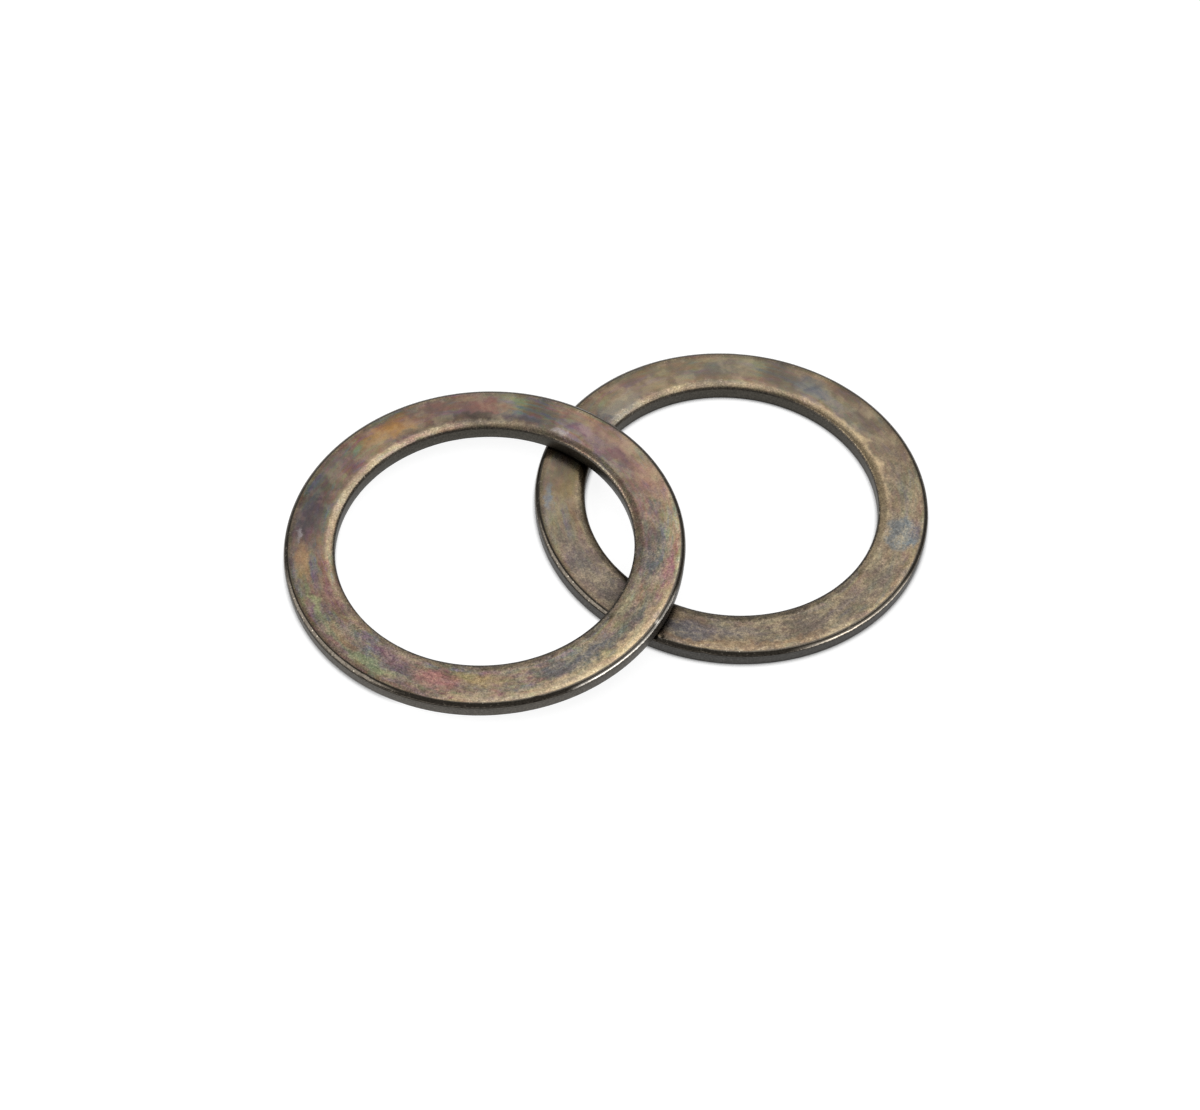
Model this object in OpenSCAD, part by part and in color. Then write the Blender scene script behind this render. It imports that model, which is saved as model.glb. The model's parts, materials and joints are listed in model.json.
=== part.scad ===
// Pair of pedal washers, in millimetres. Two equal punched steel rings go between a bicycle's pedals and
// its cranks. One lies flat on the ground. The other leans on it: its far rim is on the ground, and its
// bore edge rests on the flat one's rim.
// Origin: centre of the flat washer's bore, on the ground. +Z is up, and -X points to the leaning washer.

/* [Washer] */
// Outside diameter
outer_d = 20; // [18:0.5:26]
// Bore diameter, which clears the threaded end of a pedal axle
bore_d = 14.9; // [13:0.1:16.5]
// Thickness of the strip that the washers are punched from
thickness = 0.9; // [0.65:0.05:1.5]

/* [Rim] */
// Width of the soft roll that punching draws down round the top of the rim
rim_roll_w = 0.5; // [0.35:0.05:0.7]
// Radius of the soft roll's curve
rim_roll_r = 1.5; // [1:0.25:4]
// Radius of the polished shoulder between the soft roll and the wall
rim_shoulder_r = 0.26; // [0.12:0.02:0.3]
// Height of the burnished band under the shoulder
rim_burnish_h = 0.05; // [0.02:0.01:0.12]
// Depth of the step from the burnished band in to the broken band
rim_step = 0.02; // [0.01:0.005:0.04]
// Distance that the broken band leans in on its way down to the lower face
rim_lean = 0.02; // [0.005:0.005:0.05]
// Radius of the tumbled lower corner
rim_corner_r = 0.08; // [0.05:0.01:0.16]

/* [Bore edge] */
// Width of the soft roll round the top of the bore
bore_roll_w = 0.5; // [0.35:0.05:0.6]
// Radius of the soft roll's curve
bore_roll_r = 0.9; // [0.8:0.1:4]
// Radius of the shoulder between the soft roll and the bore's wall
bore_shoulder_r = 0.16; // [0.08:0.01:0.2]
// Height of the burnished band, which is the bore's true round wall
bore_burnish_h = 0.3; // [0.2:0.02:0.4]
// Depth of the step from the burnished band out to the broken band
bore_step = 0.01; // [0.005:0.005:0.03]
// Distance that the broken band widens on its way down to the lower face
bore_lean = 0.02; // [0.005:0.005:0.04]
// Radius of the lower corner
bore_corner_r = 0.06; // [0.03:0.01:0.08]

/* [Pair] */
// Distance between the two bores' centres, seen from above
pitch = 13; // [11:0.25:16]
// Film of air where the leaning washer meets the flat one
touch_gap = 0.01; // [0.01:0.005:0.05]

/* [Colours] */
// Flat washer's tinted steel
flat_colour = "#6E6350"; // [#6E6350:Bronze, #6B5A54:Copper, #8C8F94:Bare steel]
// Leaning washer's tinted steel
leaning_colour = "#6B5A54"; // [#6E6350:Bronze, #6B5A54:Copper, #8C8F94:Bare steel]

/* [Hidden] */
// Steps round a full circle, of the washer and of each small curve in its section
round_steps = 180;
// Distance that a cut runs on past the metal it removes
overrun = 0.2;

outer_r = outer_d / 2;
bore_r = bore_d / 2;

// An edge is [roll width, roll radius, shoulder radius, burnished height, step, lean, corner radius].
RIM = [rim_roll_w, rim_roll_r, rim_shoulder_r, rim_burnish_h, rim_step, rim_lean, rim_corner_r];
BORE = [bore_roll_w, bore_roll_r, bore_shoulder_r, bore_burnish_h, bore_step, bore_lean, bore_corner_r];

// An edge is drawn with its finished wall at x = 0, the metal at x < 0 and the lower face at y = 0.
function roll_centre(e) = [-e[0], thickness - e[1]];
// The shoulder's curve touches the wall, and the roll's curve from inside.
function shoulder_centre(e) = [-e[2], thickness - e[1] + sqrt(pow(e[1] - e[2], 2) - pow(e[0] - e[2], 2))];
// Direction from either centre to the point where the two curves meet
function blend_way(e) = (shoulder_centre(e) - roll_centre(e)) / norm(shoulder_centre(e) - roll_centre(e));
// Height at which the burnished band ends
function break_y(e) = shoulder_centre(e)[1] - e[3];
// Top of the broken band, and the sharp corner that it would have with the lower face
function broken_top(e) = [-e[4], break_y(e) - e[4]];
function broken_foot(e) = [-e[4] - e[5], 0];
// Angle by which the broken band leans in from upright
function lean_angle(e) = atan(e[5] / broken_top(e)[1]);
// Length of lower face, and of broken band, that the corner's curve takes up
function corner_reach(e) = e[6] * tan((90 - lean_angle(e)) / 2);
function corner_centre(e) = broken_foot(e) + [-corner_reach(e), e[6]];
function corner_top(e) = broken_foot(e) + corner_reach(e) * [sin(lean_angle(e)), cos(lean_angle(e))];

// The leaning washer turns about the centre of its rim's lower corner curve, which stays on the ground.
pivot_r = outer_r + corner_centre(RIM)[0];
// Its lower face ends at this radius on the bore side, and the flat washer's top face at this one.
leaning_face_r = bore_r - corner_centre(BORE)[0];
flat_face_r = outer_r - rim_roll_w;
// The two circles cross this far along from the leaning washer's centre, and touch there.
touch_x = (pow(leaning_face_r, 2) - pow(flat_face_r, 2) + pow(pitch, 2)) / (2 * pitch);
tilt = asin((thickness + touch_gap) / (pivot_r + touch_x));
// Height of the leaning washer's centre over the ground, on its lower face
leaning_z = pivot_r * sin(tilt) + rim_corner_r * (1 - cos(tilt));

// Metal that the soft roll and the shoulder leave out above the top of the wall
module roll_waste(e) {
    roll = roll_centre(e);
    shoulder = shoulder_centre(e);
    difference() {
        translate([-e[0], shoulder[1]])
            square([e[0] + overrun, thickness - shoulder[1] + overrun]);
        translate(shoulder)
            circle(e[2], $fn = round_steps);
        intersection() {
            translate(roll)
                circle(e[1], $fn = round_steps);
            polygon([roll, roll + 2 * e[1] * blend_way(e), roll + [0, 2 * e[1]]]);
        }
    }
}

// Metal that breaks away below the burnished band
module break_waste(e) {
    polygon([
        [0, break_y(e)],
        broken_top(e),
        broken_foot(e),
        [-e[4] - e[5], -overrun],
        [overrun, -overrun],
        [overrun, break_y(e)]
    ]);
}

// Metal that tumbling rounds off the lower corner
module corner_waste(e) {
    centre = corner_centre(e);
    difference() {
        polygon([
            centre,
            [centre[0], 0],
            [centre[0], -overrun],
            [0, -overrun],
            [0, corner_top(e)[1]],
            corner_top(e)
        ]);
        translate(centre)
            circle(e[6], $fn = round_steps);
    }
}

module edge_waste(e) {
    roll_waste(e);
    break_waste(e);
    corner_waste(e);
}

// Right-hand half of the ring's section, from the bore's wall to the rim's
module section() {
    difference() {
        translate([bore_r, 0])
            square([outer_r - bore_r, thickness]);
        translate([outer_r, 0])
            edge_waste(RIM);
        translate([bore_r, 0])
            mirror([1, 0])
                edge_waste(BORE);
    }
}

module washer() {
    rotate_extrude($fn = round_steps)
        section();
}

module lower_washer() {
    color(flat_colour)
        washer();
}

module upper_washer() {
    color(leaning_colour)
        translate([-pitch, 0, leaning_z])
            rotate([0, -tilt, 0])
                washer();
}

lower_washer();
upper_washer();
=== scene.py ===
"""Pair of punched steel pedal washers, one leaning on the other: looks, studio and camera.

Each ring is turned from its section, which starts as ten corners and gets its curves by bevels, as in the
part's own drawing. The heat tints, with a few ovals of painted shade and painted highlight among them, are
laid in the ring's own flat coordinates, in mm from its centre.
"""

import json
import logging
import math
from dataclasses import dataclass
from enum import Enum

import bmesh
import bpy
from mathutils import Matrix, Vector, noise


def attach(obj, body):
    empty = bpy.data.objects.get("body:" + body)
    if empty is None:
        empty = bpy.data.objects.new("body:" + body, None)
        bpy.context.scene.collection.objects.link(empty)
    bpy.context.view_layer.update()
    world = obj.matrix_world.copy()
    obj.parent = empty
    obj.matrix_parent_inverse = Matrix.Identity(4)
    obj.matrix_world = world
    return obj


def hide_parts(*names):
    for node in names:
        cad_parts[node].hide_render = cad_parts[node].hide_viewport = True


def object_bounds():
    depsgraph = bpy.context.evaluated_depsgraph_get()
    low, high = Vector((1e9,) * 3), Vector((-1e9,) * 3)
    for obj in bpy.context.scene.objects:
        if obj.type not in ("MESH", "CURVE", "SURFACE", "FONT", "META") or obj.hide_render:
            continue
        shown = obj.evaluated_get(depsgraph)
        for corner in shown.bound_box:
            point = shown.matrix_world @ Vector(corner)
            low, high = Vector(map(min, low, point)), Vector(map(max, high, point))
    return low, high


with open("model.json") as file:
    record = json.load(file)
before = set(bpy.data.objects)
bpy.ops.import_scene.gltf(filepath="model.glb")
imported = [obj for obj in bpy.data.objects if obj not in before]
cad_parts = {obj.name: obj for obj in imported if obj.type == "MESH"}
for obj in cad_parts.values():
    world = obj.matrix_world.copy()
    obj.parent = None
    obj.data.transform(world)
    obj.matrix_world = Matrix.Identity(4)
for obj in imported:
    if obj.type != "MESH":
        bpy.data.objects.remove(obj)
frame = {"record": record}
cad_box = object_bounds()

LOG = logging.getLogger("washers")
MM = 0.001
SMOOTH = {"interpolation_type": "SMOOTHSTEP"}
COLOUR_MIX = {"data_type": "RGBA"}
Socket = bpy.types.NodeSocket
Tree = bpy.types.NodeTree


def linear(hex_colour: str) -> tuple[float, float, float, float]:
    """Turns an sRGB hex colour to the linear one that a shader takes.

    Args:
        hex_colour: The colour as #RRGGBB.

    Returns:
        Linear red, green and blue, and an alpha of 1.
    """
    parts = [int(hex_colour[i:i + 2], 16) / 255 for i in (1, 3, 5)]
    return (*(c / 12.92 if c <= 0.04045 else ((c + 0.055) / 1.055) ** 2.4 for c in parts), 1.0)


def direction(azimuth: float, elevation: float) -> Vector:
    """Gives the unit vector that points to a place round the object.

    Args:
        azimuth: Degrees from +X towards +Y.
        elevation: Degrees above the horizon.

    Returns:
        The unit vector from the object to that place.
    """
    a, e = math.radians(azimuth), math.radians(elevation)
    return Vector((math.cos(a) * math.cos(e), math.sin(a) * math.cos(e), math.sin(e)))


def add_node(tree: Tree, kind: str, settings: dict | None = None, **links: Socket) -> bpy.types.Node:
    """Adds a shader node with its settings and links.

    Args:
        tree: The node tree that the node goes into.
        kind: Blender's name for the node, without the leading ShaderNode.
        settings: Values of the node's own properties and, by socket name or number, of its inputs.
        links: Output sockets to join to inputs, by i and the input's number.

    Returns:
        The new node.
    """
    node = tree.nodes.new("ShaderNode" + kind)
    for key, value in (settings or {}).items():
        if isinstance(key, str) and hasattr(node, key):
            setattr(node, key, value)
        else:
            node.inputs[key].default_value = value
    for key, socket in links.items():
        tree.links.new(socket, node.inputs[int(key[1:])])
    return node


@dataclass(frozen=True)
class EdgeForm:
    """Shape of one punched edge, in millimetres: roll, shoulder, burnished band, broken band and corner."""

    roll_w: float
    roll_r: float
    shoulder_r: float
    burnish_h: float
    step: float
    lean: float
    corner_r: float
    roll_segments: int = 8
    shoulder_segments: int = 14
    corner_segments: int = 6

    def turn(self) -> float:
        """Gives the slope, in radians, at which the soft roll meets the shoulder."""
        return math.asin((self.roll_w - self.shoulder_r) / (self.roll_r - self.shoulder_r))

    def join(self) -> float:
        """Gives how far in from the wall the soft roll meets the shoulder."""
        return self.roll_w - self.roll_r * math.sin(self.turn())

    def shoulder_drop(self) -> float:
        """Gives the depth below the top face at which the shoulder ends and the wall stands upright."""
        return self.roll_r - (self.roll_r - self.shoulder_r) * math.cos(self.turn())

    def break_drop(self) -> float:
        """Gives the depth below the top face at which the metal broke away."""
        return self.shoulder_drop() + self.burnish_h

    def corners(self, thickness: float) -> list[tuple[float, float, float, int]]:
        """Lists the edge's sharp corners from the top face down to the lower one.

        Args:
            thickness: Thickness of the ring, in millimetres.

        Returns:
            For each corner its distance into the metal from the wall, its height, the length that a bevel
            takes off each side to round it, and the bevel's segments.
        """
        turn = self.turn()
        roll_reach = self.roll_r * math.tan(turn / 2)
        roll_in = self.roll_w - roll_reach
        shoulder_y = thickness - roll_in * math.tan(turn)
        shoulder_reach = self.shoulder_r * math.tan((math.pi / 2 - turn) / 2)
        break_y = thickness - self.break_drop()
        lean_angle = math.atan(self.lean / (break_y - self.step))
        corner_reach = self.corner_r * math.tan((math.pi / 2 - lean_angle) / 2)
        return [
            (roll_in, thickness, roll_reach, self.roll_segments),
            (0.0, shoulder_y, shoulder_reach, self.shoulder_segments),
            (0.0, break_y, 0.0, 0),
            (self.step, break_y - self.step, 0.0, 0),
            (self.step + self.lean, 0.0, corner_reach, self.corner_segments),
        ]


@dataclass(frozen=True)
class RingForm:
    """Shape of the punched ring, in millimetres."""

    outer_r: float = 10.0
    bore_r: float = 7.45
    thickness: float = 0.9
    rim: EdgeForm = EdgeForm(
        roll_w=0.5, roll_r=1.5, shoulder_r=0.26, burnish_h=0.05, step=0.02, lean=0.02, corner_r=0.08,
    )
    bore: EdgeForm = EdgeForm(
        roll_w=0.5, roll_r=0.9, shoulder_r=0.16, burnish_h=0.3, step=0.01, lean=0.02, corner_r=0.06,
    )

    def middle_r(self) -> float:
        """Gives the radius halfway across the ring."""
        return (self.outer_r + self.bore_r) / 2


@dataclass(frozen=True)
class Tint:
    """An oval of colour on the top face, bent along the ring: degrees round it, mm across it.

    Most are heat colour; a few are painted shade or painted highlight.
    """

    angle: float
    half_angle: float
    radius: float
    half_width: float
    colour: str
    strength: float


@dataclass(frozen=True)
class Dent:
    """A small knock in a ring: its place, radius and depth, in degrees and millimetres."""

    angle: float
    radius: float
    height: float
    size: float
    depth: float


@dataclass(frozen=True)
class Rise:
    """How a share grows with a level: from least at start to most at end."""

    start: float
    end: float
    least: float = 0.0
    most: float = 1.0

    def inputs(self) -> dict[int, float]:
        """Gives the inputs of the node that turns the level to the share."""
        return {1: self.start, 2: self.end, 3: self.least, 4: self.most}

    def times(self, factor: float) -> "Rise":
        """Gives the same rise with both its shares multiplied."""
        return Rise(self.start, self.end, self.least * factor, self.most * factor)


# The ragged edges of films and stains: how closely they bend, per millimetre, and how far they reach.
DRIFT_PER_MM = 1.3
DRIFT_REACH = 1.3

# How many times longer a streak and a drawn-out patch are along the ring than across it.
STREAK_STRETCH = 4.0
DRAWN_STRETCH = 1.7

# How ragged the limits of the bands are, in millimetres, and how closely the rubbed rolls' limits bend.
ROLL_RAG = 1.3
ROLL_RAG_PER_MM = 3.0
EDGE_FRAY = 0.1
BAND_FRAY = 0.06

# How far, in millimetres, the limit of the bore's dark lip moves from a ring's near side to its middle: the
# wider lip on the near side is painted shade.
LIP_SHIFT = Rise(-7.0, -2.0, -0.05, 0.02)

# The height, in millimetres, below which the tumbled foot begins. The foot's dark tone is painted shade: the
# contact shadow under the ring's lower edge.
FOOT_TOP = 0.15


@dataclass(frozen=True)
class RingPlaces:
    """Shader sockets that say where a point lies in its own ring, in millimetres."""

    own: Socket
    across: Socket
    height: Socket
    radius: Socket
    ragged: Socket
    ragged_way: Socket
    ragged_radius: Socket
    streaks: Socket
    drawn: Socket
    middle: float

    @classmethod
    def find(cls, tree: Tree, place: Matrix, form: RingForm) -> "RingPlaces":
        """Adds the nodes that give these places.

        Args:
            tree: The material's node tree.
            place: The matrix from the ring's own millimetres to the scene's metres.
            form: The ring's shape.

        Returns:
            The places' sockets.
        """
        seen = add_node(tree, "TexCoord").outputs["Object"]
        foot, turn, size = place.decompose()
        own = add_node(
            tree, "Mapping", {"vector_type": "TEXTURE", 1: foot, 2: turn.to_euler(), 3: size}, i0=seen,
        ).outputs[0]
        parts = add_node(tree, "SeparateXYZ", None, i0=own)
        flat = add_node(tree, "VectorMath", {"operation": "MULTIPLY", 1: (1.0, 1.0, 0.0)}, i0=own).outputs[0]
        radius = add_node(tree, "VectorMath", {"operation": "LENGTH"}, i0=flat).outputs[1]

        # Films and stains have ragged edges, so their coordinates wander by a few tenths of a millimetre.
        drift = add_node(
            tree, "TexNoise", {"Scale": DRIFT_PER_MM, "Detail": 4.0, "Roughness": 0.62}, i0=flat,
        ).outputs["Color"]
        drift = add_node(
            tree, "VectorMath", {"operation": "SUBTRACT", 1: (0.5, 0.5, 0.5)}, i0=drift,
        ).outputs[0]
        ragged = add_node(
            tree, "VectorMath", {"operation": "MULTIPLY_ADD", 1: (DRIFT_REACH, DRIFT_REACH, 0.0)},
            i0=drift, i2=flat,
        ).outputs[0]
        way = add_node(tree, "VectorMath", {"operation": "NORMALIZE"}, i0=ragged).outputs[0]
        ragged_radius = add_node(tree, "VectorMath", {"operation": "LENGTH"}, i0=ragged).outputs[1]

        # Tumbling drags marks along the ring, so a pattern is longer that way than across it.
        along = add_node(tree, "VectorMath", {"operation": "NORMALIZE"}, i0=flat).outputs[0]
        outward = add_node(tree, "CombineXYZ", None, i2=radius).outputs[0]
        drags = []
        for stretch in (STREAK_STRETCH, DRAWN_STRETCH):
            size = form.middle_r() / stretch
            drags.append(add_node(
                tree, "VectorMath", {"operation": "MULTIPLY_ADD", 1: (size, size, size)},
                i0=along, i2=outward,
            ).outputs[0])
        return cls(
            own, parts.outputs["Y"], parts.outputs["Z"], radius, ragged, way, ragged_radius, *drags,
            form.middle_r(),
        )


@dataclass(frozen=True)
class RingBands:
    """Shader sockets that say, from 0 to 1, how far a point lies in each band of the ring's section.

    Low is all that lies below the shoulder, rounded is the shoulder or a roll, and punched is the shoulder or
    the bore. The last socket is no share: it is the height in millimetres, with a little of the grain added.
    """

    roll: Socket
    shoulder: Socket
    bore: Socket
    burnish: Socket
    torn: Socket
    wall: Socket
    foot: Socket
    low: Socket
    rounded: Socket
    punched: Socket
    ragged_z: Socket

    @classmethod
    def find(cls, tree: Tree, at: RingPlaces, form: RingForm, grain: Socket) -> "RingBands":
        """Adds the nodes that tell the bands apart, each with a ragged limit.

        Args:
            tree: The material's node tree.
            at: Where a point lies in the ring.
            form: The ring's shape.
            grain: The skin's pitted grain.

        Returns:
            The bands' sockets.
        """
        rag = add_node(
            tree, "TexNoise", {"Scale": ROLL_RAG_PER_MM, "Detail": 4.0, "Roughness": 0.8}, i0=at.own,
        ).outputs[0]
        rough_r = add_node(
            tree, "Math", {"operation": "MULTIPLY_ADD", 1: ROLL_RAG}, i0=rag, i2=at.radius,
        ).outputs[0]
        rim_roll = form.outer_r - form.rim.roll_w + ROLL_RAG / 2
        bore_roll = form.bore_r + form.bore.roll_w + ROLL_RAG / 2
        on_rim = add_node(tree, "MapRange", {**SMOOTH, 1: rim_roll, 2: rim_roll + 0.3}, i0=rough_r).outputs[0]
        on_bore = add_node(
            tree, "MapRange", {**SMOOTH, 1: bore_roll + 0.1, 2: bore_roll - 0.2}, i0=rough_r,
        ).outputs[0]
        roll = add_node(tree, "Math", {"operation": "MAXIMUM"}, i0=on_rim, i1=on_bore).outputs[0]

        frayed = add_node(
            tree, "Math", {"operation": "MULTIPLY_ADD", 1: EDGE_FRAY}, i0=grain, i2=at.radius,
        ).outputs[0]
        ragged_z = add_node(
            tree, "Math", {"operation": "MULTIPLY_ADD", 1: BAND_FRAY}, i0=grain, i2=at.height,
        ).outputs[0]

        # The bore's dark lip is wide on the near half of each ring and thin on the far half: painted shade on
        # the near side.
        lip = add_node(tree, "MapRange", {**SMOOTH, **LIP_SHIFT.inputs()}, i0=at.across).outputs[0]
        lip = add_node(tree, "Math", {"operation": "ADD"}, i0=frayed, i1=lip).outputs[0]

        shoulder_r = form.outer_r - form.rim.join()
        lip_r = form.bore_r + form.bore.join()
        wall_z = form.thickness - form.bore.shoulder_drop()
        rim_wall_z = form.thickness - form.rim.shoulder_drop()
        burnish_z = rim_wall_z + 0.4 * form.rim.shoulder_r
        torn_z = rim_wall_z + 0.22 * form.rim.shoulder_r
        zones = []
        for start, end, level in (
            (shoulder_r, shoulder_r + 0.04, frayed),
            (lip_r + 0.13, lip_r + 0.03, lip),
            (burnish_z + 0.04, burnish_z + 0.02, ragged_z),
            (torn_z + 0.04, torn_z + 0.02, ragged_z),
            (wall_z + 0.13, wall_z + 0.04, ragged_z),
            (FOOT_TOP, FOOT_TOP - 0.07, ragged_z),
        ):
            zones.append(add_node(tree, "MapRange", {**SMOOTH, 1: start, 2: end}, i0=level).outputs[0])
        shoulder, bore, low, torn, wall, foot = zones
        burnish, torn, wall = (
            add_node(tree, "Math", {"operation": "MULTIPLY"}, i0=zone, i1=side).outputs[0]
            for zone, side in ((low, shoulder), (torn, shoulder), (wall, bore))
        )
        rounded = add_node(tree, "Math", {"operation": "MAXIMUM"}, i0=shoulder, i1=roll).outputs[0]
        punched = add_node(tree, "Math", {"operation": "MAXIMUM"}, i0=shoulder, i1=bore).outputs[0]
        return cls(roll, shoulder, bore, burnish, torn, wall, foot, low, rounded, punched, ragged_z)


@dataclass(frozen=True)
class TemperedSteel:
    """Punched strip steel that heat has browned and tumbling has dulled.

    The strip's own skin is satin and finely pitted, with oxide films that run from straw to blue, worn to
    gold in flecks. The shoulder that the punch dragged is smooth and near black, and the torn band below it
    is matt grey. Names that end in mm are sizes in millimetres, those in per_mm go by the millimetre, and
    shares run from 0 to 1.
    """

    warm: str
    cool: str
    film: str
    gold: str
    torn: str
    rub: float
    iris: float
    # The direction, in degrees, of the side of the shoulder that takes the painted highlight.
    highlight_side: float
    deep: str = "#4A4340"
    rubbed: str = "#B3A388"
    nick: str = "#D2C7B4"
    shoulder: str = "#554F47"
    # Painted highlight: bright steel laid on one side of the shoulder, where the key lamp's reflection falls.
    painted_highlight: str = "#E6DFD4"
    burnish: str = "#2C2925"
    # Painted shade: the foot's dark tone stands for the contact shadow under the ring's lower edge, and also
    # darkens the crease where the metal broke away.
    foot: str = "#2B2925"
    bore_lip: str = "#47423C"
    bore_wall: str = "#45423C"
    films: tuple[str, ...] = ("#7A6F8E", "#6B7F8F", "#73886F", "#93895F", "#A47F62", "#A06F74", "#84708A")

    # Real pits are a few hundredths of a millimetre across: the grain is drawn twice as coarse, to show.
    grain_mm: float = 0.085
    grain_depth_mm: float = 0.002
    blotch_mm: float = 2.4
    film_mm: float = 0.9
    fleck_mm: float = 0.85
    rainbow_mm: float = 0.75
    streak_mm: float = 0.22
    painted_shade_mm: float = 1.6

    cool_share: Rise = Rise(0.28, 0.58)
    cool_fade_per_mm: float = 0.16
    film_share: Rise = Rise(0.44, 0.7, most=0.6)
    film_depth: Rise = Rise(0.42, 0.62, 0.08, 0.42)
    film_depth_per_mm: float = 0.3

    # The levels of the film's depth at which its hues follow each other.
    first_film: float = 0.33
    next_films: float = 0.35
    film_step: float = 0.05

    spot_shares: tuple[float, float] = (0.27, 0.27)
    tint_breaks: Rise = Rise(0.34, 0.64, least=0.5)
    tint_reach: float = 2.1
    gold_share: Rise = Rise(0.48, 0.72, most=0.6)
    deep_share: Rise = Rise(0.51, 0.3, most=0.56)
    near_half: Rise = Rise(6.0, -5.0, least=0.12)
    # Where the painted highlight lies on the shoulder: its arc round the side, its depth below the top face
    # and its width.
    highlight_arc: Rise = Rise(9.0, 9.6)
    highlight_drop_mm: float = 0.105
    highlight_width: Rise = Rise(0.075, 0.02)
    break_width: Rise = Rise(0.03, 0.005, most=0.7)
    knocks_per_mm: float = 7.0
    knock_share: Rise = Rise(0.65, 0.75, most=0.35)
    painted_shade_share: Rise = Rise(0.5, 0.93, least=0.25)
    contrast: float = 8.0

    face_gloss: float = 0.3
    gloss_swing: float = 0.06
    roll_gloss: float = 0.22
    shoulder_gloss: float = 0.11
    bore_gloss: float = 0.46
    torn_gloss: float = 0.5

    def skin(self, tree: Tree, at: RingPlaces) -> Socket:
        """Paints the strip's browned skin: broad blotches of two browns, then a thinner film of a third.

        Args:
            tree: The material's node tree.
            at: Where a point lies in the ring.

        Returns:
            The colour's socket.
        """
        blotch = add_node(
            tree, "TexNoise", {"Scale": 1 / self.blotch_mm, "Detail": 4.0, "Roughness": 0.55}, i0=at.drawn,
        ).outputs[0]
        middle = add_node(
            tree, "Math", {"operation": "SUBTRACT", 1: at.middle}, i0=at.ragged_radius,
        ).outputs[0]
        middle = add_node(tree, "Math", {"operation": "ABSOLUTE"}, i0=middle).outputs[0]
        blotch = add_node(
            tree, "Math", {"operation": "MULTIPLY_ADD", 1: -self.cool_fade_per_mm}, i0=middle, i2=blotch,
        ).outputs[0]
        blotch = add_node(tree, "MapRange", self.cool_share.inputs(), i0=blotch).outputs[0]
        colour = add_node(
            tree, "Mix", {**COLOUR_MIX, 6: linear(self.warm), 7: linear(self.cool)}, i0=blotch,
        ).outputs[2]
        film = add_node(
            tree, "TexNoise", {"Scale": 1 / self.film_mm, "Detail": 4.0, "Roughness": 0.6}, i0=at.ragged,
        ).outputs[0]
        film = add_node(tree, "MapRange", self.film_share.inputs(), i0=film).outputs[0]
        return add_node(tree, "Mix", {**COLOUR_MIX, 7: linear(self.film)}, i0=film, i6=colour).outputs[2]

    def rainbow(self, tree: Tree, at: RingPlaces, colour: Socket) -> Socket:
        """Varies the film's depth along the drag marks, so its hue runs from violet to green, straw and rose.

        Args:
            tree: The material's node tree.
            at: Where a point lies in the ring.
            colour: The colour so far.

        Returns:
            The colour's socket.
        """
        depth = add_node(
            tree, "TexNoise",
            {"Scale": 1 / self.rainbow_mm, "Detail": 4.0, "Roughness": 0.62, "Distortion": 0.4},
            i0=at.streaks,
        ).outputs[0]
        ramp = add_node(tree, "ValToRGB", None, i0=depth)
        steps = ramp.color_ramp.elements
        steps.remove(steps[1])
        steps[0].position = self.first_film
        for count, tone in enumerate(self.films):
            step = steps.new(self.next_films + self.film_step * count) if count else steps[0]
            step.color = linear(tone)
        thick = add_node(
            tree, "TexNoise", {"Scale": self.film_depth_per_mm, "Detail": 3.0, "Roughness": 0.6},
            i0=at.ragged,
        ).outputs[0]
        thick = add_node(
            tree, "MapRange", {**SMOOTH, **self.film_depth.times(self.iris).inputs()}, i0=thick,
        ).outputs[0]
        colour = add_node(
            tree, "Mix", {**COLOUR_MIX, "blend_type": "COLOR"}, i0=thick, i6=colour, i7=ramp.outputs[0],
        ).outputs[2]
        patterns = ((0.5 * self.rainbow_mm, at.drawn), (self.streak_mm, at.streaks))
        for share, (size, place) in zip(self.spot_shares, patterns):
            spots = add_node(
                tree, "TexNoise", {"Scale": 1 / size, "Detail": 4.0, "Roughness": 0.68}, i0=place,
            ).outputs["Color"]
            colour = add_node(
                tree, "Mix", {**COLOUR_MIX, "blend_type": "OVERLAY", 0: share * self.iris},
                i6=colour, i7=spots,
            ).outputs[2]
        return colour

    def heat_tints_and_painted_light(self, tree: Tree, at: RingPlaces, colour: Socket, tints: tuple[Tint, ...]) -> Socket:
        """Lays the placed ovals over the skin, each broken up along the ring: most are heat colour, a few
        painted shade or painted highlight.

        Args:
            tree: The material's node tree.
            at: Where a point lies in the ring.
            colour: The colour so far.
            tints: The ovals.

        Returns:
            The colour's socket.
        """
        broken = add_node(
            tree, "TexNoise", {"Scale": 0.45 / self.streak_mm, "Detail": 4.0, "Roughness": 0.7}, i0=at.drawn,
        ).outputs[0]
        broken = add_node(tree, "MapRange", self.tint_breaks.inputs(), i0=broken).outputs[0]
        for tint in tints:
            way = direction(tint.angle, 0.0)
            bend = 2 / math.radians(tint.half_angle) ** 2
            along = add_node(
                tree, "VectorMath", {"operation": "DOT_PRODUCT", 1: way}, i0=at.ragged_way,
            ).outputs[1]
            along = add_node(
                tree, "Math", {"operation": "MULTIPLY_ADD", 1: -bend, 2: bend}, i0=along,
            ).outputs[0]
            off = add_node(
                tree, "Math",
                {"operation": "MULTIPLY_ADD", 1: 1 / tint.half_width, 2: -tint.radius / tint.half_width},
                i0=at.ragged_radius,
            ).outputs[0]
            oval = add_node(tree, "Math", {"operation": "MULTIPLY_ADD"}, i0=off, i1=off, i2=along).outputs[0]
            fade = Rise(self.tint_reach, 0.0, most=tint.strength)
            oval = add_node(tree, "MapRange", {**SMOOTH, **fade.inputs()}, i0=oval).outputs[0]
            oval = add_node(
                tree, "Math", {"operation": "MULTIPLY", "use_clamp": True}, i0=oval, i1=broken,
            ).outputs[0]
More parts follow.
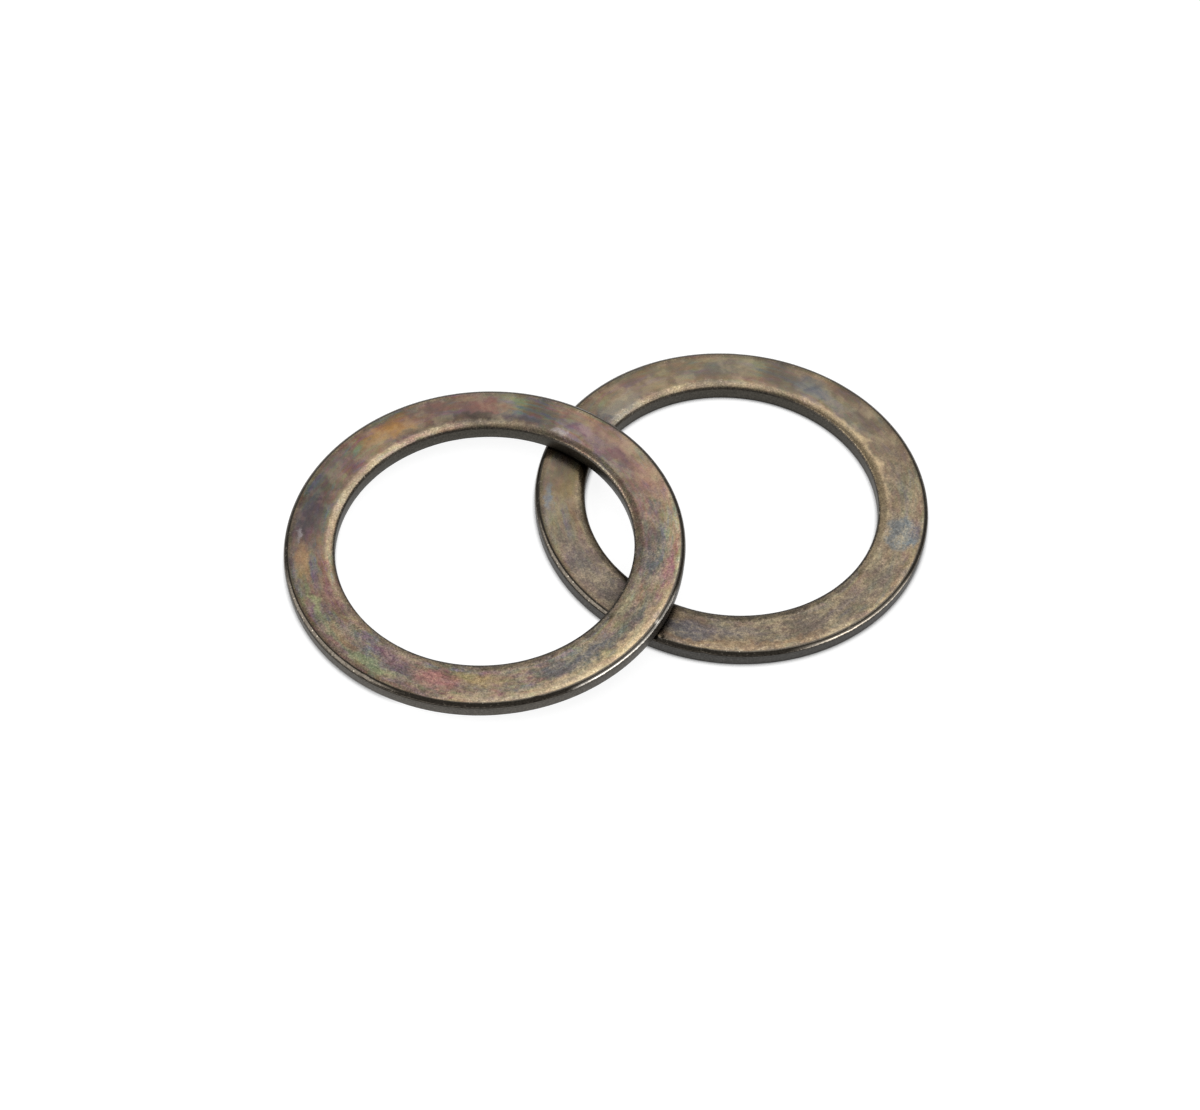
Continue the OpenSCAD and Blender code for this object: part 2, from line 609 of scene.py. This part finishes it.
            colour = add_node(
                tree, "Mix", {**COLOUR_MIX, 7: linear(tint.colour)}, i0=oval, i6=colour,
            ).outputs[2]
        return colour

    def rub_rolls(self, tree: Tree, bands: RingBands, colour: Socket) -> Socket:
        """Thins the films where rubbing reaches, on the soft rolls beside the rim and the bore.

        Args:
            tree: The material's node tree.
            bands: The ring's bands.
            colour: The colour so far.

        Returns:
            The colour's socket.
        """
        share = add_node(tree, "Math", {"operation": "MULTIPLY", 1: self.rub}, i0=bands.roll).outputs[0]
        return add_node(tree, "Mix", {**COLOUR_MIX, 7: linear(self.rubbed)}, i0=share, i6=colour).outputs[2]

    def flecks(self, tree: Tree, at: RingPlaces, colour: Socket, worn: Socket) -> Socket:
        """Wears the films to gold on the high spots and leaves them deep in the low ones, down to 0.05 mm.

        Args:
            tree: The material's node tree.
            at: Where a point lies in the ring.
            colour: The colour so far.
            worn: How coarse the skin is there, from 0 to 1.

        Returns:
            The colour's socket.
        """
        fine = add_node(
            tree, "TexNoise", {"Scale": 1 / self.fleck_mm, "Detail": 5.0, "Roughness": 0.92}, i0=at.drawn,
        ).outputs[0]
        broad = add_node(
            tree, "TexNoise", {"Scale": 0.4 / self.fleck_mm, "Detail": 4.0, "Roughness": 0.6}, i0=at.ragged,
        ).outputs[0]
        level = add_node(tree, "Mix", {"data_type": "FLOAT"}, i0=worn, i2=broad, i3=fine).outputs[0]
        for rise, tone in ((self.gold_share, self.gold), (self.deep_share, self.deep)):
            share = add_node(tree, "MapRange", rise.inputs(), i0=level).outputs[0]
            colour = add_node(tree, "Mix", {**COLOUR_MIX, 7: linear(tone)}, i0=share, i6=colour).outputs[2]
        return colour

    def edge_bands(self, tree: Tree, bands: RingBands, colour: Socket) -> Socket:
        """Gives each band of the punched edges its own tone; the foot's dark tone is painted shade.

        Args:
            tree: The material's node tree.
            bands: The ring's bands.
            colour: The colour so far.

        Returns:
            The colour's socket.
        """
        for band, tone in (
            (bands.shoulder, self.shoulder), (bands.burnish, self.burnish), (bands.torn, self.torn),
            (bands.bore, self.bore_lip), (bands.wall, self.bore_wall), (bands.foot, self.foot),
        ):
            colour = add_node(tree, "Mix", {**COLOUR_MIX, 7: linear(tone)}, i0=band, i6=colour).outputs[2]
        return colour

    def edge_lines(
        self, tree: Tree, at: RingPlaces, bands: RingBands, form: RingForm, colour: Socket,
    ) -> Socket:
        """Draws two thin lines round the rim.

        One, on one side of the shoulder, is a painted highlight: bright, bare steel laid only on the side and
        at the height where the key lamp's reflection falls. The other is dark and runs right round, where the
        smooth
        band ends and the metal broke away: painted shade in that crease.

        Args:
            tree: The material's node tree.
            at: Where a point lies in the ring.
            bands: The ring's bands.
            form: The ring's shape.
            colour: The colour so far.

        Returns:
            The colour's socket.
        """
        # Painted highlight: the bright line goes only on the side that faces highlight_side, at a fixed depth
        # below the top face.
        side = add_node(
            tree, "VectorMath", {"operation": "DOT_PRODUCT", 1: direction(self.highlight_side, 0.0)}, i0=at.own,
        ).outputs[1]
        side = add_node(tree, "MapRange", {**SMOOTH, **self.highlight_arc.inputs()}, i0=side).outputs[0]
        side = add_node(tree, "Math", {"operation": "MULTIPLY"}, i0=side, i1=bands.shoulder).outputs[0]
        highlight_z = form.thickness - self.highlight_drop_mm
        # The dark line at the break is painted shade in the crease there, drawn in the foot's dark tone.
        break_z = form.thickness - form.rim.break_drop() + BAND_FRAY / 2
        for height, width, where, tone in (
            (highlight_z, self.highlight_width, side, self.painted_highlight),
            (break_z, self.break_width, bands.shoulder, self.foot),
        ):
            line = add_node(tree, "Math", {"operation": "SUBTRACT", 1: height}, i0=bands.ragged_z).outputs[0]
            line = add_node(tree, "Math", {"operation": "ABSOLUTE"}, i0=line).outputs[0]
            line = add_node(tree, "MapRange", {**SMOOTH, **width.inputs()}, i0=line).outputs[0]
            line = add_node(tree, "Math", {"operation": "MULTIPLY"}, i0=line, i1=where).outputs[0]
            colour = add_node(tree, "Mix", {**COLOUR_MIX, 7: linear(tone)}, i0=line, i6=colour).outputs[2]
        return colour

    def knocks(self, tree: Tree, at: RingPlaces, bands: RingBands, colour: Socket) -> Socket:
        """Leaves small knocks bare and bright on the shoulders and rolls, but not on the wall below them.

        Args:
            tree: The material's node tree.
            at: Where a point lies in the ring.
            bands: The ring's bands.
            colour: The colour so far.

        Returns:
            The colour's socket.
        """
        above = add_node(tree, "Math", {"operation": "SUBTRACT", 0: 1.0}, i1=bands.low).outputs[0]
        knock = add_node(
            tree, "TexNoise", {"Scale": self.knocks_per_mm, "Detail": 1.0, "Roughness": 0.5}, i0=at.own,
        ).outputs[0]
        knock = add_node(tree, "MapRange", {**SMOOTH, **self.knock_share.inputs()}, i0=knock).outputs[0]
        for where in (bands.rounded, above):
            knock = add_node(tree, "Math", {"operation": "MULTIPLY"}, i0=knock, i1=where).outputs[0]
        return add_node(tree, "Mix", {**COLOUR_MIX, 7: linear(self.nick)}, i0=knock, i6=colour).outputs[2]

    def light_and_dark(
        self, tree: Tree, bands: RingBands, colour: Socket, grain: Socket, worn: Socket,
    ) -> Socket:
        """Lets high spots catch the light, darkens pits, and paints shade on the face beside the other ring's
        wall.

        Args:
            tree: The material's node tree.
            bands: The ring's bands.
            colour: The colour so far.
            grain: The skin's pitted grain.
            worn: How coarse the skin is there, from 0 to 1.

        Returns:
            The colour's socket.
        """
        light = add_node(tree, "Math", {"operation": "SUBTRACT", 1: 0.5}, i0=grain).outputs[0]
        coarse = add_node(tree, "Math", {"operation": "MAXIMUM"}, i0=worn, i1=bands.rounded).outputs[0]
        light = add_node(tree, "Math", {"operation": "MULTIPLY"}, i0=light, i1=coarse).outputs[0]
        light = add_node(tree, "Math", {"operation": "POWER", 0: self.contrast}, i1=light).outputs[0]
        colour = add_node(tree, "VectorMath", {"operation": "SCALE"}, i0=colour, i3=light).outputs[0]

        # Painted shade: ambient occlusion darkens the face's colour where the other ring's wall stands close;
        # the shoulders and the bore keep their colour.
        near = add_node(
            tree, "AmbientOcclusion", {"Distance": self.painted_shade_mm * MM, "samples": 6},
        ).outputs["AO"]
        near = add_node(tree, "MapRange", self.painted_shade_share.inputs(), i0=near).outputs[0]
        near = add_node(tree, "Math", {"operation": "MAXIMUM"}, i0=near, i1=bands.punched).outputs[0]
        return add_node(tree, "VectorMath", {"operation": "SCALE"}, i0=colour, i3=near).outputs[0]

    def roughness(self, tree: Tree, bands: RingBands, grain: Socket) -> Socket:
        """Gives the face a satin sheen, the shoulder a polish and the torn band next to none.

        Args:
            tree: The material's node tree.
            bands: The ring's bands.
            grain: The skin's pitted grain.

        Returns:
            The roughness's socket.
        """
        swing = Rise(0.3, 0.7, self.face_gloss - self.gloss_swing, self.face_gloss + self.gloss_swing)
        gloss = add_node(tree, "MapRange", swing.inputs(), i0=grain).outputs[0]
        for band, level in (
            (bands.roll, self.roll_gloss), (bands.shoulder, self.shoulder_gloss),
            (bands.torn, self.torn_gloss), (bands.bore, self.bore_gloss), (bands.foot, self.torn_gloss),
        ):
            gloss = add_node(tree, "Mix", {"data_type": "FLOAT", 3: level}, i0=band, i2=gloss).outputs[0]
        return gloss

    def relief(self, tree: Tree, at: RingPlaces, bands: RingBands, grain: Socket) -> Socket:
        """Raises the face's pitted grain, and the fine lines that the punch drags round the walls.

        Args:
            tree: The material's node tree.
            at: Where a point lies in the ring.
            bands: The ring's bands.
            grain: The skin's pitted grain.

        Returns:
            The normal's socket.
        """
        stretched = add_node(
            tree, "VectorMath", {"operation": "MULTIPLY", 1: (0.25, 0.25, 14.0)}, i0=at.own,
        ).outputs[0]
        drag = add_node(
            tree, "TexNoise", {"Scale": 1.0, "Detail": 3.0, "Roughness": 0.6}, i0=stretched,
        ).outputs[0]
        height = add_node(tree, "Mix", {"data_type": "FLOAT"}, i0=bands.punched, i2=grain, i3=drag).outputs[0]
        return add_node(
            tree, "Bump", {"Strength": 1.0, "Distance": self.grain_depth_mm * MM}, i3=height,
        ).outputs[0]

    def build(self, name: str, place: Matrix, form: RingForm, tints: tuple[Tint, ...]) -> bpy.types.Material:
        """Makes the material for one ring.

        Args:
            name: The ring's name.
            place: The matrix from the ring's own millimetres to the scene's metres.
            form: The ring's shape.
            tints: Ovals of colour that lie on the ring's top face: heat colour, with a few of painted shade
                and painted highlight.

        Returns:
            The material.
        """
        material = bpy.data.materials.new(name + "_punched_tempered_steel")
        material.use_nodes = True
        tree = material.node_tree
        tree.nodes.clear()
        at = RingPlaces.find(tree, place, form)
        grain = add_node(
            tree, "TexNoise", {"Scale": 1 / self.grain_mm, "Detail": 2.0, "Roughness": 0.6}, i0=at.own,
        ).outputs[0]
        bands = RingBands.find(tree, at, form, grain)

        # The pitted skin is coarser on the near half of each ring than on the far half.
        worn = add_node(tree, "MapRange", {**SMOOTH, **self.near_half.inputs()}, i0=at.across).outputs[0]

        colour = self.skin(tree, at)
        colour = self.rainbow(tree, at, colour)
        colour = self.heat_tints_and_painted_light(tree, at, colour, tints)
        colour = self.rub_rolls(tree, bands, colour)
        colour = self.flecks(tree, at, colour, worn)
        colour = self.edge_bands(tree, bands, colour)
        colour = self.edge_lines(tree, at, bands, form, colour)
        colour = self.knocks(tree, at, bands, colour)
        colour = self.light_and_dark(tree, bands, colour, grain, worn)
        rough = self.roughness(tree, bands, grain)
        normal = self.relief(tree, at, bands, grain)
        shader = add_node(tree, "BsdfPrincipled", {"Metallic": 1.0}, i0=colour, i2=rough, i5=normal)
        out = add_node(tree, "OutputMaterial")
        tree.links.new(shader.outputs[0], out.inputs[0])
        return material


class Finish(Enum):
    """The two rings' finishes."""

    BRONZE = TemperedSteel(
        warm="#877560", cool="#766C63", film="#7E7565", gold="#BFAD8B", torn="#4C4A47", rub=0.15, iris=0.75,
        highlight_side=-68.0, painted_highlight="#CDC2B2",
    )
    PLUM = TemperedSteel(
        warm="#8E766A", cool="#786F6E", film="#867A69", gold="#C6B492", torn="#57534D", rub=0.26, iris=1.5,
        highlight_side=-58.0,
    )


@dataclass
class Washer:
    """One punched steel ring, in its place. Its wear is in millimetres, and its crease in degrees."""

    node: str
    foot: Vector
    up: Vector
    finish: Finish
    tints: tuple[Tint, ...] = ()
    dents: tuple[Dent, ...] = ()
    form: RingForm = RingForm()
    sectors: int = 8
    sector_steps: int = 90
    face_step: float = 0.13
    crown: float = 0.012
    waves: float = 0.004
    waves_per_mm: float = 0.45
    ripples: float = 0.0025
    ripples_per_mm: float = 2.2
    flat_share: float = 0.4
    crease: float = 25.0

    def section(self, mesh: bmesh.types.BMesh) -> None:
        """Draws the ring's section as a closed line of edges in the XZ plane, in millimetres.

        Args:
            mesh: The mesh that takes the edges.
        """
        form = self.form
        rim, bore = (edge.corners(form.thickness) for edge in (form.rim, form.bore))
        corners = [(form.outer_r - x, y, reach, segments) for x, y, reach, segments in rim]
        corners += [(form.bore_r + x, y, reach, segments) for x, y, reach, segments in reversed(bore)]
        points = [mesh.verts.new((x, 0.0, y)) for x, y, _, _ in corners]
        mesh.faces.new(points)
        for point, (_, _, reach, segments) in zip(points, corners):
            if reach:
                bmesh.ops.bevel(
                    mesh, geom=[point], offset=reach, offset_type="OFFSET", segments=segments, profile=0.5,
                    affect="VERTICES", material=-1, clamp_overlap=False,
                )
        bmesh.ops.remove_doubles(mesh, verts=mesh.verts, dist=0.002)
        bmesh.ops.delete(mesh, geom=mesh.faces[:], context="FACES_ONLY")
        for edge in mesh.edges[:]:
            on_top = all(point.co.z > form.thickness - 0.001 for point in edge.verts)
            cuts = int(edge.calc_length() / (self.face_step if on_top else 4 * self.face_step))
            if cuts:
                bmesh.ops.subdivide_edges(mesh, edges=[edge], cuts=cuts)

    def place(self) -> Matrix:
        """Gives the matrix that takes the ring from its own millimetres to its place."""
        turn = Vector((0, 0, 1)).rotation_difference(self.up).to_matrix().to_4x4()
        return Matrix.Translation(self.foot) @ turn @ Matrix.Scale(MM, 4)

    def wear(self, mesh: bmesh.types.BMesh) -> None:
        """Presses the dents in, and gives the ring the faint crown and unevenness of a tumbled part.

        Args:
            mesh: The whole ring, in its own millimetres.
        """
        form = self.form
        seed = Vector((sum(map(ord, self.node)) % 17, 3.0, 5.0))
        half = (form.outer_r - form.bore_r) / 2
        moves = []
        for point in mesh.verts:
            place = point.co
            depth = self.waves + self.waves * noise.noise(place * self.waves_per_mm + seed)
            depth += self.ripples * noise.noise(place * self.ripples_per_mm + seed)
            if abs(point.normal.z) > 0.99:
                depth *= self.flat_share
            if point.normal.z > 0.7:
                off = (place.xy.length - form.middle_r()) / half
                depth += self.crown * off ** 4
            for dent in self.dents:
                middle = direction(dent.angle, 0.0) * dent.radius + Vector((0, 0, dent.height))
                away = (place - middle).length / dent.size
                if away < 1:
                    depth += dent.depth * (1 - away * away) ** 2
            moves.append(point.normal * -max(depth, 0.0))
        for point, move in zip(mesh.verts, moves):
            point.co += move

    def build(self) -> bpy.types.Object:
        """Turns the section round the bore's axis and makes the ring an object.

        Returns:
            The finished ring, in its place.
        """
        mesh = bmesh.new()
        self.section(mesh)
        bmesh.ops.spin(
            mesh, geom=mesh.verts[:] + mesh.edges[:], cent=(0, 0, 0), axis=(0, 0, 1),
            angle=math.tau / self.sectors, steps=self.sector_steps, use_merge=False, use_duplicate=False,
        )
        sector = mesh.verts[:] + mesh.edges[:] + mesh.faces[:]
        for count in range(1, self.sectors):
            copy = bmesh.ops.duplicate(mesh, geom=sector)["geom"]
            turn = Matrix.Rotation(math.tau * count / self.sectors, 3, "Z")
            corners = [part for part in copy if isinstance(part, bmesh.types.BMVert)]
            bmesh.ops.rotate(mesh, cent=(0, 0, 0), matrix=turn, verts=corners)
        bmesh.ops.remove_doubles(mesh, verts=mesh.verts, dist=0.0005)
        bmesh.ops.recalc_face_normals(mesh, faces=mesh.faces)
        mesh.normal_update()
        self.wear(mesh)
        mesh.normal_update()
        for face in mesh.faces:
            face.smooth = True
        for edge in mesh.edges:
            edge.smooth = edge.calc_face_angle(0.0) < math.radians(self.crease)
        place = self.place()
        bmesh.ops.transform(mesh, matrix=place, verts=mesh.verts)
        data = bpy.data.meshes.new(self.node)
        mesh.to_mesh(data)
        mesh.free()
        ring = bpy.data.objects.new(self.node + "_ring", data)
        bpy.context.scene.collection.objects.link(ring)
        data.materials.append(self.finish.value.build(self.node, place, self.form, self.tints))
        return ring


LOWER_TINTS = (
    Tint(-31, 5.8, 8.72, 0.68, "#6C7478", 2.2),
    Tint(-28, 4.0, 9.4, 0.35, "#5F5A66", 0.7),
    Tint(43, 7.0, 8.8, 0.6, "#646A70", 0.9),
    Tint(119, 10.0, 8.05, 0.6, "#676C70", 0.8),
    Tint(158, 7.0, 8.4, 0.5, "#8C7A50", 0.6),
    Tint(165, 5.0, 9.35, 0.2, "#7A8896", 0.6),
    Tint(174, 7.0, 8.15, 0.4, "#7C6650", 0.6),
    Tint(200, 20.0, 8.8, 0.8, "#6A6162", 0.7),
    Tint(237, 8.0, 8.85, 0.5, "#5C6070", 0.9),
    Tint(252, 8.0, 8.6, 0.4, "#62646E", 0.7),
    Tint(232, 9.0, 8.1, 0.35, "#7E6650", 0.7),
    Tint(258, 26.0, 9.5, 0.16, "#A07A54", 0.6),
    Tint(295, 22.0, 8.9, 0.6, "#6E6A66", 0.5),
    Tint(78, 32.0, 7.62, 0.18, "#645B50", 0.8),
    Tint(0, 40.0, 7.72, 0.36, "#CDB58F", 0.8),
    Tint(10, 30.0, 9.3, 0.6, "#6A5C4C", 0.6),
    Tint(322, 36.0, 8.3, 0.5, "#74685A", 0.45),
    Tint(195, 45.0, 7.7, 0.3, "#4E4842", 0.7),
    # Painted shade: the near side of the bore's roll and of the face, darker beside where the upper ring
    # crosses.
    Tint(252, 36.0, 7.66, 0.26, "#3C3832", 1.1),
    Tint(254, 46.0, 9.0, 1.3, "#5E544A", 0.6),
)

UPPER_TINTS = (
    Tint(107, 9.0, 8.8, 0.5, "#BC8E54", 1.0),
    Tint(84, 17.0, 8.95, 0.6, "#84625F", 0.7),
    Tint(72, 7.0, 8.75, 0.4, "#9A6C60", 0.7),
    Tint(62, 9.0, 8.2, 0.3, "#667080", 0.9),
    Tint(45.5, 2.6, 8.03, 0.25, "#C9C0C0", 0.9),
    Tint(38, 2.4, 8.74, 0.25, "#C4B0B4", 0.7),
    Tint(31, 15.0, 8.65, 0.6, "#8C686C", 0.8),
    Tint(15, 26.0, 9.35, 0.4, "#B89A7E", 0.6),
    Tint(9, 7.0, 8.85, 0.45, "#A4766A", 0.6),
    Tint(-11, 5.0, 8.7, 0.35, "#A0705A", 0.4),
    Tint(-22, 11.0, 8.45, 0.6, "#5C5C5E", 0.8),
    Tint(-28, 7.0, 9.35, 0.22, "#925C74", 0.6),
    Tint(-62, 24.0, 8.8, 0.4, "#5E5E5A", 0.8),
    Tint(-55, 18.0, 8.1, 0.35, "#848266", 0.5),
    Tint(-73, 14.0, 8.65, 0.5, "#66696A", 0.8),
    # Painted highlight: cream on the outer roll, on the side where the key lamp's light falls.
    Tint(293, 27.0, 9.52, 0.36, "#C8B38E", 0.8),
    Tint(256, 15.0, 9.6, 0.2, "#BCA886", 0.5),
    Tint(253, 9.0, 8.5, 0.4, "#A08A5C", 0.8),
    Tint(238, 7.5, 8.7, 0.4, "#B27C76", 0.85),
    Tint(223, 9.0, 8.25, 0.45, "#8E6670", 0.45),
    Tint(187, 7.0, 9.0, 0.2, "#9CA676", 0.8),
    Tint(199, 7.0, 9.15, 0.2, "#7C8A6A", 0.7),
    Tint(216, 10.0, 9.2, 0.22, "#909E78", 0.75),
    Tint(203, 7.0, 8.95, 0.2, "#AE7E5C", 0.5),
    Tint(169, 8.0, 9.12, 0.3, "#B08862", 0.9),
    Tint(182, 11.0, 8.35, 0.5, "#946A68", 0.6),
    Tint(150, 14.0, 9.1, 0.7, "#56505A", 0.8),
    Tint(160, 3.0, 9.3, 0.12, "#B8AEB0", 0.8),
    Tint(136, 24.0, 7.75, 0.25, "#8A7A64", 0.9),
    Tint(60, 20.0, 7.68, 0.24, "#5F564D", 0.9),
    Tint(80, 26.0, 8.05, 0.36, "#5A5048", 1.0),
    # Painted shade: the near side of the bore's roll, darker.
    Tint(262, 50.0, 7.6, 0.2, "#443E37", 1.0),
)

UPPER_DENTS = (
    Dent(312.5, 9.74, 0.88, 0.3, 0.035),
    Dent(268.5, 9.9, 0.8, 0.22, 0.03),
    Dent(218.0, 9.94, 0.75, 0.25, 0.02),
    Dent(165.0, 9.85, 0.85, 0.2, 0.02),
)

LOWER_DENTS = (
    Dent(230.5, 9.72, 0.88, 0.16, 0.03),
    Dent(243.5, 9.98, 0.62, 0.4, 0.05),
    Dent(287.5, 9.85, 0.84, 0.25, 0.03),
)


@dataclass(frozen=True)
class Softbox:
    """A round studio lamp that faces the object."""

    name: str
    azimuth: float
    elevation: float
    distance: float
    spread: float
    radiance: float
    colour: str = "#FFFFFF"

    def build(self, aim: Vector) -> bpy.types.Object:
        """Hangs the lamp.

        Args:
            aim: The point that the lamp faces.

        Returns:
            The lamp's object.
        """
        radius = self.distance * math.tan(math.radians(self.spread))
        data = bpy.data.lights.new(self.name, "AREA")
        data.shape = "DISK"
        data.size = 2 * radius
        data.energy = self.radiance * math.pi * math.pi * radius ** 2
        data.color = linear(self.colour)[:3]
        lamp = bpy.data.objects.new(self.name, data)
        way = direction(self.azimuth, self.elevation)
        lamp.location = aim + way * self.distance
        lamp.rotation_euler = way.to_track_quat("Z", "Y").to_euler()
        lamp.visible_camera = False
        bpy.context.scene.collection.objects.link(lamp)
        return lamp


@dataclass(frozen=True)
class SoftWall:
    """A soft pale place on the studio's walls: its angles, even core, reach and radiance."""

    azimuth: float
    elevation: float
    core: float
    reach: float
    radiance: float


@dataclass(frozen=True)
class Studio:
    """The pale floor, the dim room and the lamps."""

    floor_r: float = 2.5
    floor_colour: str = "#8A8A8A"
    floor_glow: float = 0.9
    room_level: float = 0.28
    painted_shade_mm: float = 0.22
    painted_shade_share: Rise = Rise(0.45, 0.9, least=0.2)
    lamps: tuple[Softbox, ...] = (Softbox("key_right", -47.0, 14.0, 0.6, 11.0, 0.8, "#FFFBF4"),)
    walls: tuple[SoftWall, ...] = (
        SoftWall(35.0, 66.0, 0.0, 34.0, 1.6),
        SoftWall(168.0, 22.0, 24.0, 38.0, 2.6),
        SoftWall(315.0, 10.0, 8.0, 25.0, 1.2),
        SoftWall(78.0, 24.0, 0.0, 38.0, 0.42),
    )

    def floor(self) -> bpy.types.Object:
        """Lays the floor: a pale disc that renders white and still takes the rings' shadow, with a painted
        contact shadow in its glow.

        Returns:
            The floor's object.
        """
        mesh = bmesh.new()
        bmesh.ops.create_circle(mesh, cap_ends=True, radius=self.floor_r, segments=96)
        data = bpy.data.meshes.new("floor")
        mesh.to_mesh(data)
        mesh.free()
        disc = bpy.data.objects.new("floor", data)
        bpy.context.scene.collection.objects.link(disc)

        # Matt card has no sheen, so it shows the rings' soft shadow, with a painted contact shadow in its
        # glow, and nothing else.
        material = bpy.data.materials.new("matt_white_card")
        material.use_nodes = True
        tree = material.node_tree
        tree.nodes.clear()

        # Painted contact shadow: ambient occlusion dims the card's glow where a ring stands close to it.
        near = add_node(
            tree, "AmbientOcclusion", {"Distance": self.painted_shade_mm * MM, "samples": 4},
        ).outputs["AO"]
        near = add_node(tree, "MapRange", self.painted_shade_share.inputs(), i0=near).outputs[0]
        diffuse = add_node(tree, "BsdfDiffuse", {"Color": linear(self.floor_colour)})
        path = add_node(tree, "LightPath").outputs
        seen = path["Is Camera Ray"]
        for ray in ("Is Glossy Ray", "Is Transmission Ray"):
            seen = add_node(tree, "Math", {"operation": "MAXIMUM"}, i0=seen, i1=path[ray]).outputs[0]
        strength = add_node(tree, "Math", {"operation": "MULTIPLY", 1: self.floor_glow}, i0=seen)
        strength = add_node(tree, "Math", {"operation": "MULTIPLY"}, i0=strength.outputs[0], i1=near)
        glow = add_node(tree, "Emission", {"Color": (1.0, 1.0, 1.0, 1.0)}, i1=strength.outputs[0])
        both = add_node(tree, "AddShader", None, i0=diffuse.outputs[0], i1=glow.outputs[0])
        out = add_node(tree, "OutputMaterial")
        tree.links.new(both.outputs[0], out.inputs[0])
        data.materials.append(material)
        return disc

    def room(self) -> None:
        """Fills the room with dim light and the soft walls' glow."""
        world = bpy.data.worlds.new("room")
        bpy.context.scene.world = world
        world.use_nodes = True
        tree = world.node_tree
        tree.nodes.clear()
        way = add_node(tree, "TexCoord").outputs["Generated"]
        level = None
        for wall in self.walls:
            middle = direction(wall.azimuth, wall.elevation)
            near = add_node(tree, "VectorMath", {"operation": "DOT_PRODUCT", 1: middle}, i0=way).outputs[1]
            edge, core = (math.cos(math.radians(angle)) for angle in (wall.reach, wall.core))
            fade = Rise(edge, core, most=wall.radiance)
            near = add_node(tree, "MapRange", {**SMOOTH, **fade.inputs()}, i0=near).outputs[0]
            if level is None:
                level = add_node(tree, "Math", {"operation": "ADD", 1: self.room_level}, i0=near).outputs[0]
            else:
                level = add_node(tree, "Math", {"operation": "ADD"}, i0=near, i1=level).outputs[0]
        light = add_node(tree, "Background", {0: (1.0, 1.0, 1.0, 1.0)}, i1=level)
        out = add_node(tree, "OutputWorld")
        tree.links.new(light.outputs[0], out.inputs[0])

    def build(self, aim: Vector) -> None:
        """Sets up the floor, the room and the lamps.

        Args:
            aim: The point that the lamps face.
        """
        self.floor()
        self.room()
        for lamp in self.lamps:
            lamp.build(aim)


@dataclass(frozen=True)
class PhotoCamera:
    """The camera at the photograph's place: angles in degrees, the rest in millimetres."""

    azimuth: float = -20.41
    elevation: float = 51.07
    roll: float = 4.16
    distance: float = 168.93
    aim: tuple[float, float, float] = (-7.333, -1.179, 0.0)
    lens: float = 100.97
    sensor: float = 36.0

    def build(self) -> bpy.types.Object:
        """Makes the scene's camera.

        Returns:
            The camera's object.
        """
        data = bpy.data.cameras.new("photo_camera")
        data.lens, data.sensor_width = self.lens, self.sensor
        data.clip_start, data.clip_end = 0.01, 20.0
        camera = bpy.data.objects.new("photo_camera", data)
        back = direction(self.azimuth - 90, self.elevation)
        level = (-back).to_track_quat("-Z", "Y").to_matrix().to_4x4()
        level = level @ Matrix.Rotation(math.radians(self.roll), 4, "Z")
        camera.matrix_world = Matrix.Translation(Vector(self.aim) * MM + back * self.distance * MM) @ level
        bpy.context.scene.collection.objects.link(camera)
        bpy.context.scene.camera = camera
        return camera


def mount(name: str) -> tuple[Vector, Vector]:
    """Looks up one of the part's mounts.

    Args:
        name: The mount's name in the record.

    Returns:
        Its place in metres, and its axis.
    """
    found = next(m for m in frame["record"]["mounts"] if m["name"] == name)
    return Vector(found["pos_m"]), Vector(found["axis"]).normalized()


def main() -> None:
    """Builds the washers, the studio and the camera."""
    logging.basicConfig(level=logging.INFO, format="%(name)s: %(message)s")
    bpy.context.scene.view_settings.view_transform = "Standard"
    PhotoCamera().build()

    lower_foot, down = mount("lower_bore")
    lower = Washer("lower_washer", lower_foot, -down, Finish.BRONZE, LOWER_TINTS, LOWER_DENTS)
    bore_place, up = mount("upper_bore")
    face_place, _ = mount("upper_seat")
    top_centre = bore_place + up * (face_place - bore_place).dot(up)
    upper_foot = top_centre - up * lower.form.thickness * MM
    upper = Washer("upper_washer", upper_foot, up, Finish.PLUM, UPPER_TINTS, UPPER_DENTS)

    for washer in (lower, upper):
        ring = washer.build()
        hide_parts(washer.node)
        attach(ring, "root")
        LOG.info("%s: %d faces", ring.name, len(ring.data.polygons))

    low, high = cad_box
    Studio().build((low + high) / 2)


if __name__ == "__main__":
    main()
